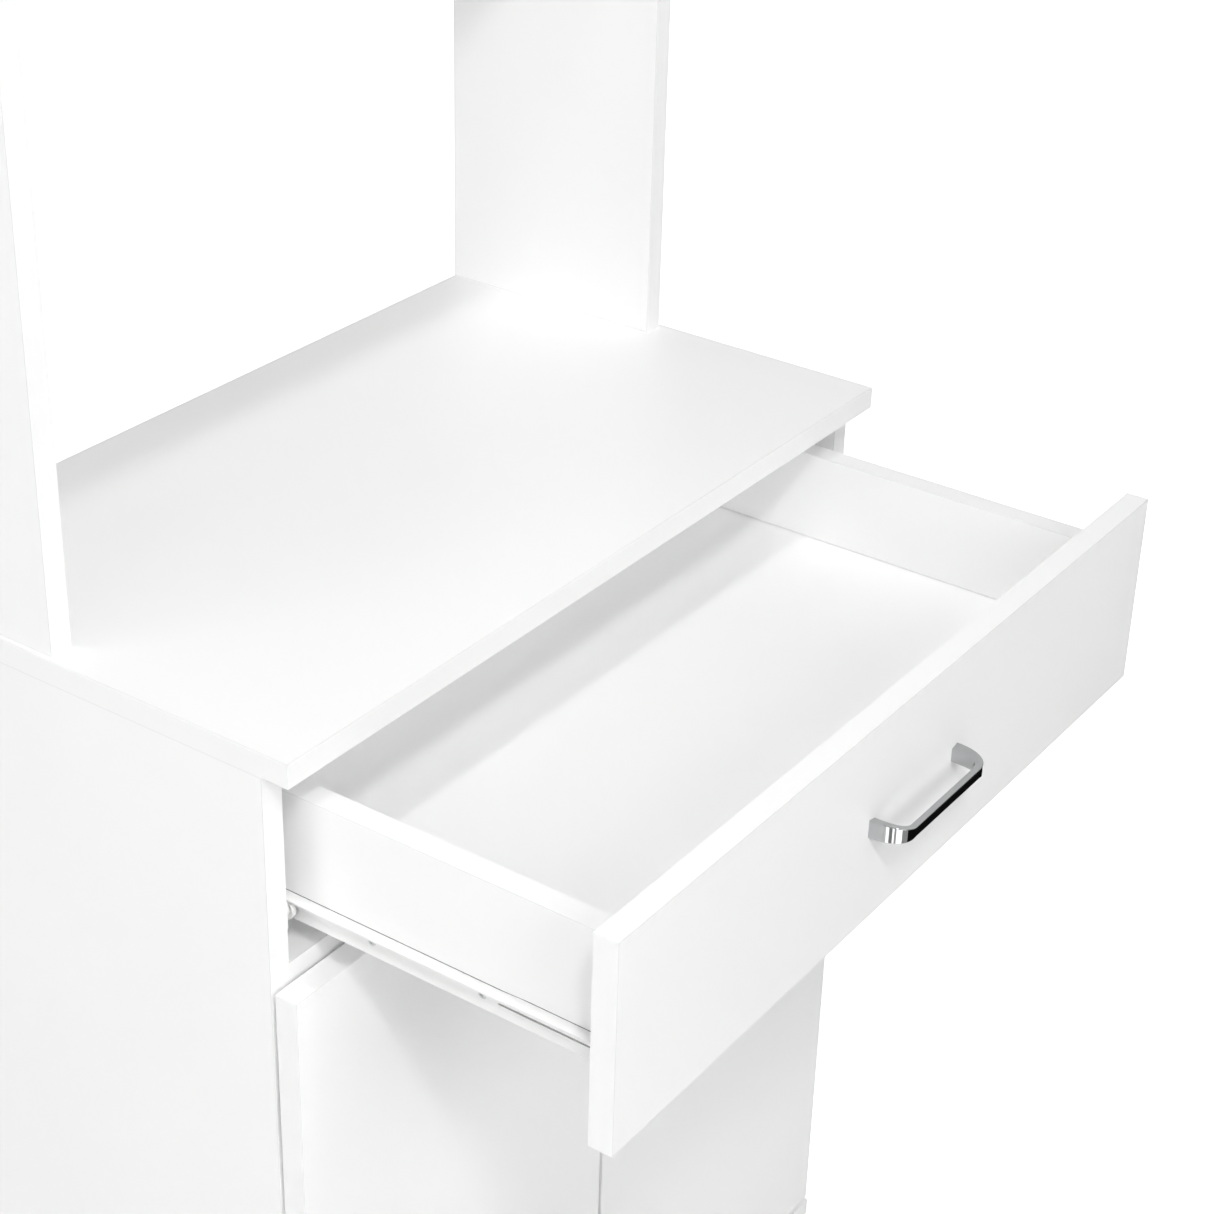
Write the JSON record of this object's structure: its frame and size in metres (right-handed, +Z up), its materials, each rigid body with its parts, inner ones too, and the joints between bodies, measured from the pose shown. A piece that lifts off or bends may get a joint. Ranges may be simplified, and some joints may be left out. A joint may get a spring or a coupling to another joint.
{
  "type": "salon styling station",
  "caption": "Free-standing salon station: white board cabinet with a drawer on roller slides and hinged doors, under an open hutch that carries a mirror.",
  "frame": {"origin": "on the floor, under the middle of the whole station with its drawer drawn out as stored", "axes": "+Z up, the doors and the drawer face -Y, +X to the right seen from the front"},
  "size_m": [0.6, 0.5818, 1.7],
  "materials": {
    "white_board": "white melamine-faced particleboard, fine satin texture, white edge tape",
    "white_hardboard": "thin hardboard with a smooth white lacquered face",
    "mirror_glass": "silvered float glass with ground edges",
    "chrome": "polished chrome plate",
    "zinc_steel": "bright zinc-plated steel",
    "nickel_steel": "nickel-plated pressed steel",
    "white_epoxy_steel": "white epoxy powder coat on pressed steel",
    "white_nylon": "moulded white nylon",
    "white_plastic": "moulded white plastic, fine texture",
    "beech": "bare fluted beech"
  },
  "bodies": {
    "carcass": {"countertop": "white_board", "left_side_panel": "white_board", "right_side_panel": "white_board", "base_board": "white_board", "fixed_deck": "white_board", "back_panel": "white_hardboard", "back_panel_nails": "zinc_steel", "adjustable_shelf": "white_board", "shelf_pins": "zinc_steel", "left_upright": "white_board", "right_upright": "white_board", "hutch_shelf": "white_board", "top_board": "white_board", "mirror_board": "white_board", "mirror_glass": "mirror_glass", "mirror_clips": "chrome", "mirror_clip_screws": "chrome", "feet": "white_plastic", "foot_screws": "zinc_steel", "cabinet_cam_locks": "zinc_steel", "cabinet_cam_bolts": "zinc_steel", "hutch_cam_locks": "zinc_steel", "hutch_cam_bolts": "zinc_steel", "wood_dowels": "beech", "upright_screws": "zinc_steel", "left_cabinet_rail": "white_epoxy_steel", "right_cabinet_rail": "white_epoxy_steel", "cabinet_rail_screws": "zinc_steel", "front_roller_pins": "zinc_steel", "hinge_plates": "nickel_steel", "hinge_arms": "nickel_steel", "hinge_screws": "zinc_steel", "magnet_catch": "white_plastic", "magnet_catch_screws": "zinc_steel"},
    "front_rollers": {"front_rollers": "white_nylon"},
    "drawer": {"drawer_front": "white_board", "drawer_left_side": "white_board", "drawer_right_side": "white_board", "drawer_back": "white_board", "drawer_bottom": "white_hardboard", "drawer_dowels": "beech", "drawer_corner_brackets": "zinc_steel", "drawer_bracket_screws": "zinc_steel", "left_drawer_rail": "white_epoxy_steel", "right_drawer_rail": "white_epoxy_steel", "drawer_rail_screws": "zinc_steel", "rear_roller_pins": "zinc_steel", "drawer_handle": "chrome", "drawer_handle_screws": "zinc_steel"},
    "rear_rollers": {"rear_rollers": "white_nylon"},
    "left_door": {"left_door": "white_board", "left_hinge_cups": "nickel_steel", "left_hinge_pins": "nickel_steel", "left_door_handle": "chrome", "left_door_screws": "zinc_steel"},
    "right_door": {"right_door": "white_board", "right_hinge_cups": "nickel_steel", "right_hinge_pins": "nickel_steel", "right_door_handle": "chrome", "right_door_screws": "zinc_steel"}
  },
  "joints": [
    {"name": "drawer_slide", "type": "slide", "parent": "carcass", "child": "drawer", "axis": [0, -1, 0], "range_m": [-0.21, 0.015]},
    {"name": "left_door_hinge", "type": "hinge", "parent": "carcass", "child": "left_door", "pos_m": [-0.2935, -0.05185, 0.35925], "axis": [0, 0, -1], "range_deg": [0, 95]},
    {"name": "right_door_hinge", "type": "hinge", "parent": "carcass", "child": "right_door", "pos_m": [0.2935, -0.05185, 0.35925], "axis": [0, 0, 1], "range_deg": [0, 95]},
    {"name": "front_roller_spin", "type": "hinge", "parent": "carcass", "child": "front_rollers", "pos_m": [0, -0.03365, 0.6862], "axis": [1, 0, 0], "range_deg": [-1900, 150]},
    {"name": "rear_roller_spin", "type": "hinge", "parent": "drawer", "child": "rear_rollers", "pos_m": [0, 0.04015, 0.6875], "axis": [1, 0, 0], "range_deg": [-130, 1650]}
  ],
  "couplings": [
    {"joint": "front_roller_spin", "follows": "drawer_slide", "rad_per_m": 156.25},
    {"joint": "rear_roller_spin", "follows": "drawer_slide", "rad_per_m": -135.13}
  ]
}
